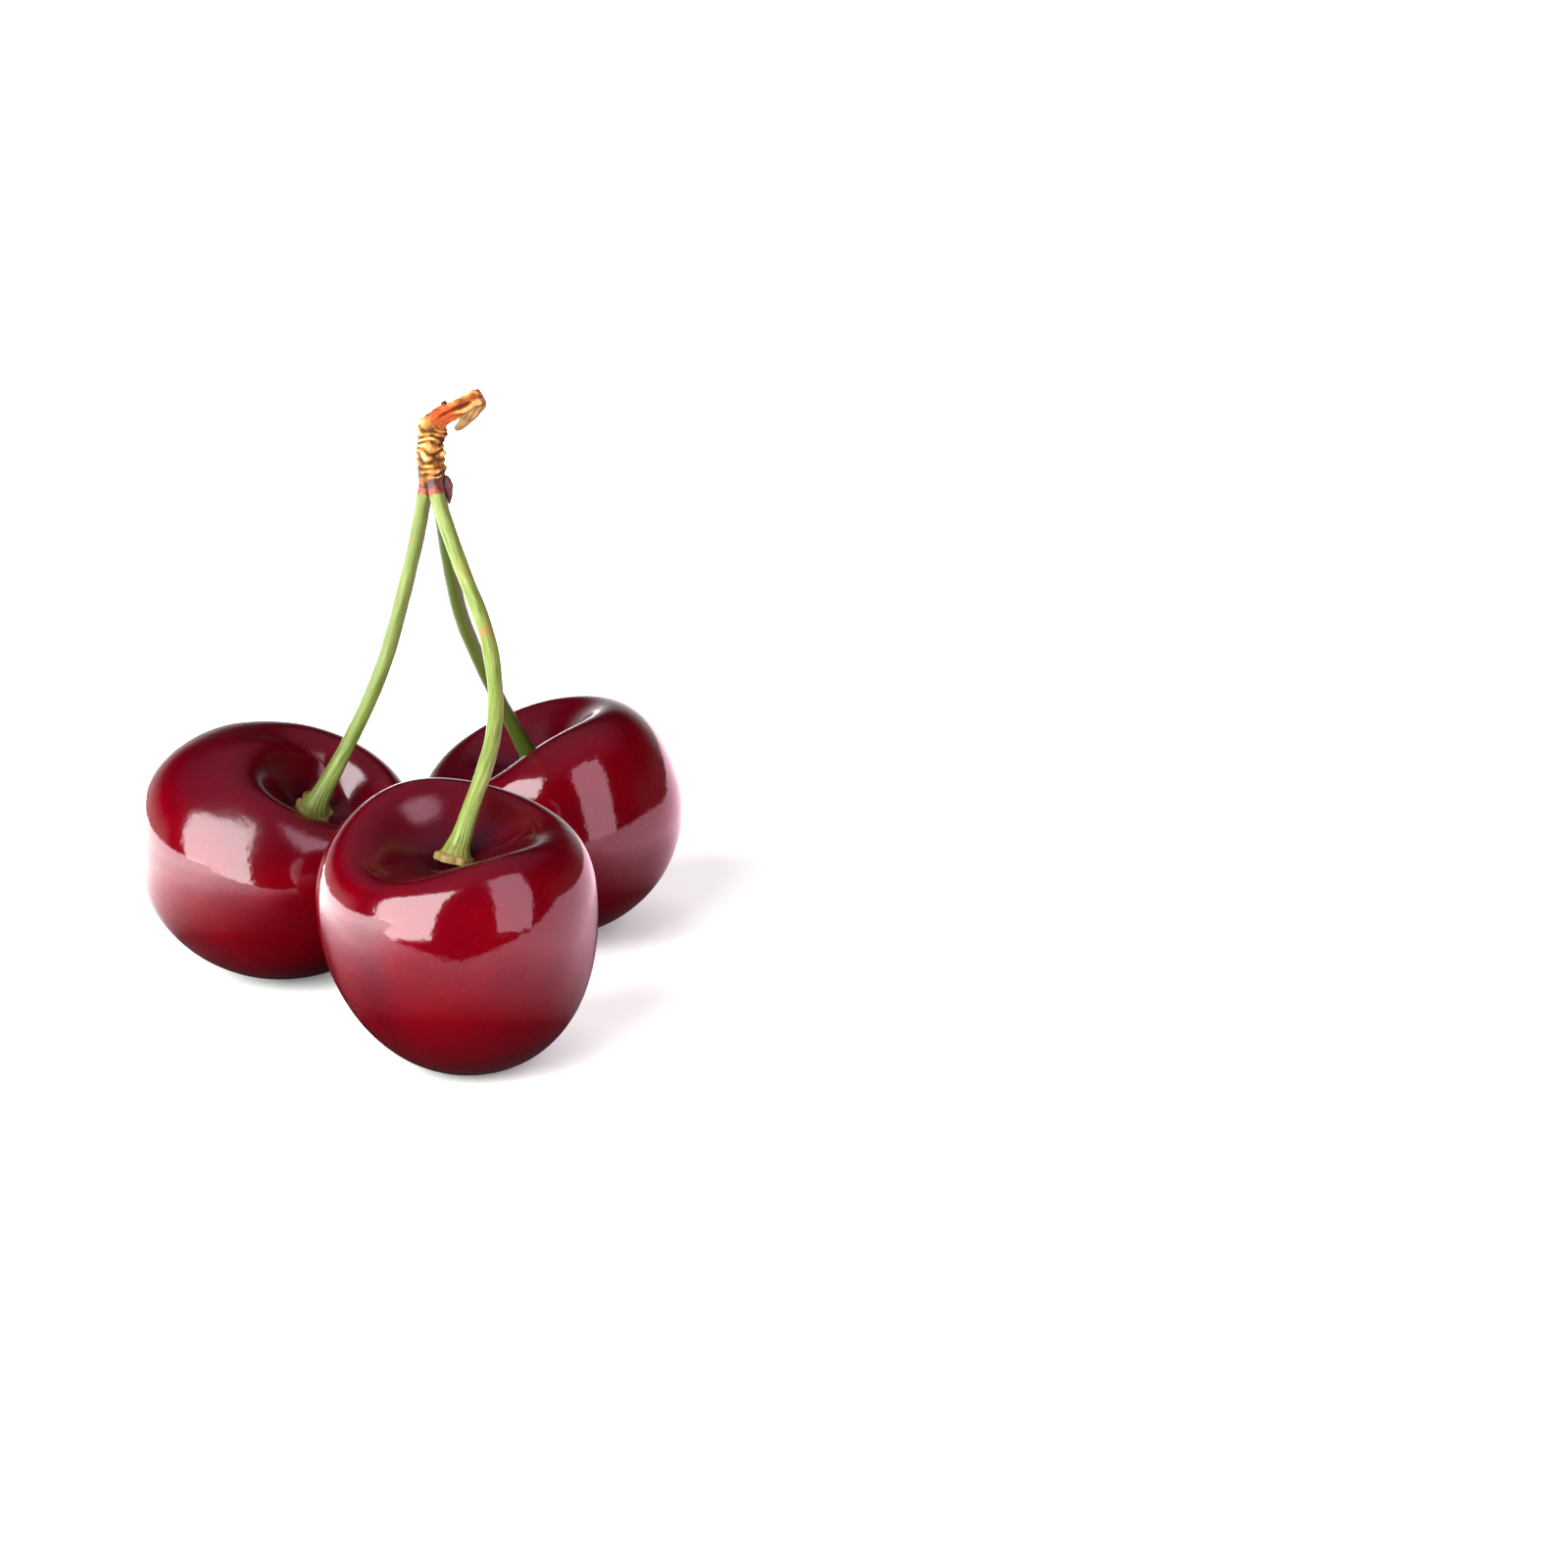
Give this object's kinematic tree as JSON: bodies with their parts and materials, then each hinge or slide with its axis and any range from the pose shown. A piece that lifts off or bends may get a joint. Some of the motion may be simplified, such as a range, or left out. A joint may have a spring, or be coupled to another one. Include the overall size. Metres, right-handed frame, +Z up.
{
  "type": "cherries on stalks",
  "caption": "Bunch of dark red sweet cherries on long green stalks that grow from one short woody spur, standing on the fruits.",
  "frame": {"origin": "middle of the bunch's outer box, on the surface that the three fruits rest on", "axes": "+Z up along the stalks to the spur; -Y is the front, towards the nearest fruit; +X is to the right seen from the front"},
  "size_m": [0.0582, 0.0688, 0.0658],
  "materials": {
    "skin": "glossy, waxy fruit skin, deep red with darker shoulders",
    "stalk": "fresh green stalk, satin, faintly grooved along its length",
    "bark": "rough ringed bark of a fruiting spur, ochre to brown",
    "bud_scale": "dry purple-brown bud scale"
  },
  "bodies": {
    "root": {"cherry_front": "skin", "cherry_left": "skin", "cherry_back": "skin", "stalk_front": "stalk", "stalk_left": "stalk", "stalk_back": "stalk", "spur": "bark", "bud": "bud_scale"}
  },
  "joints": []
}
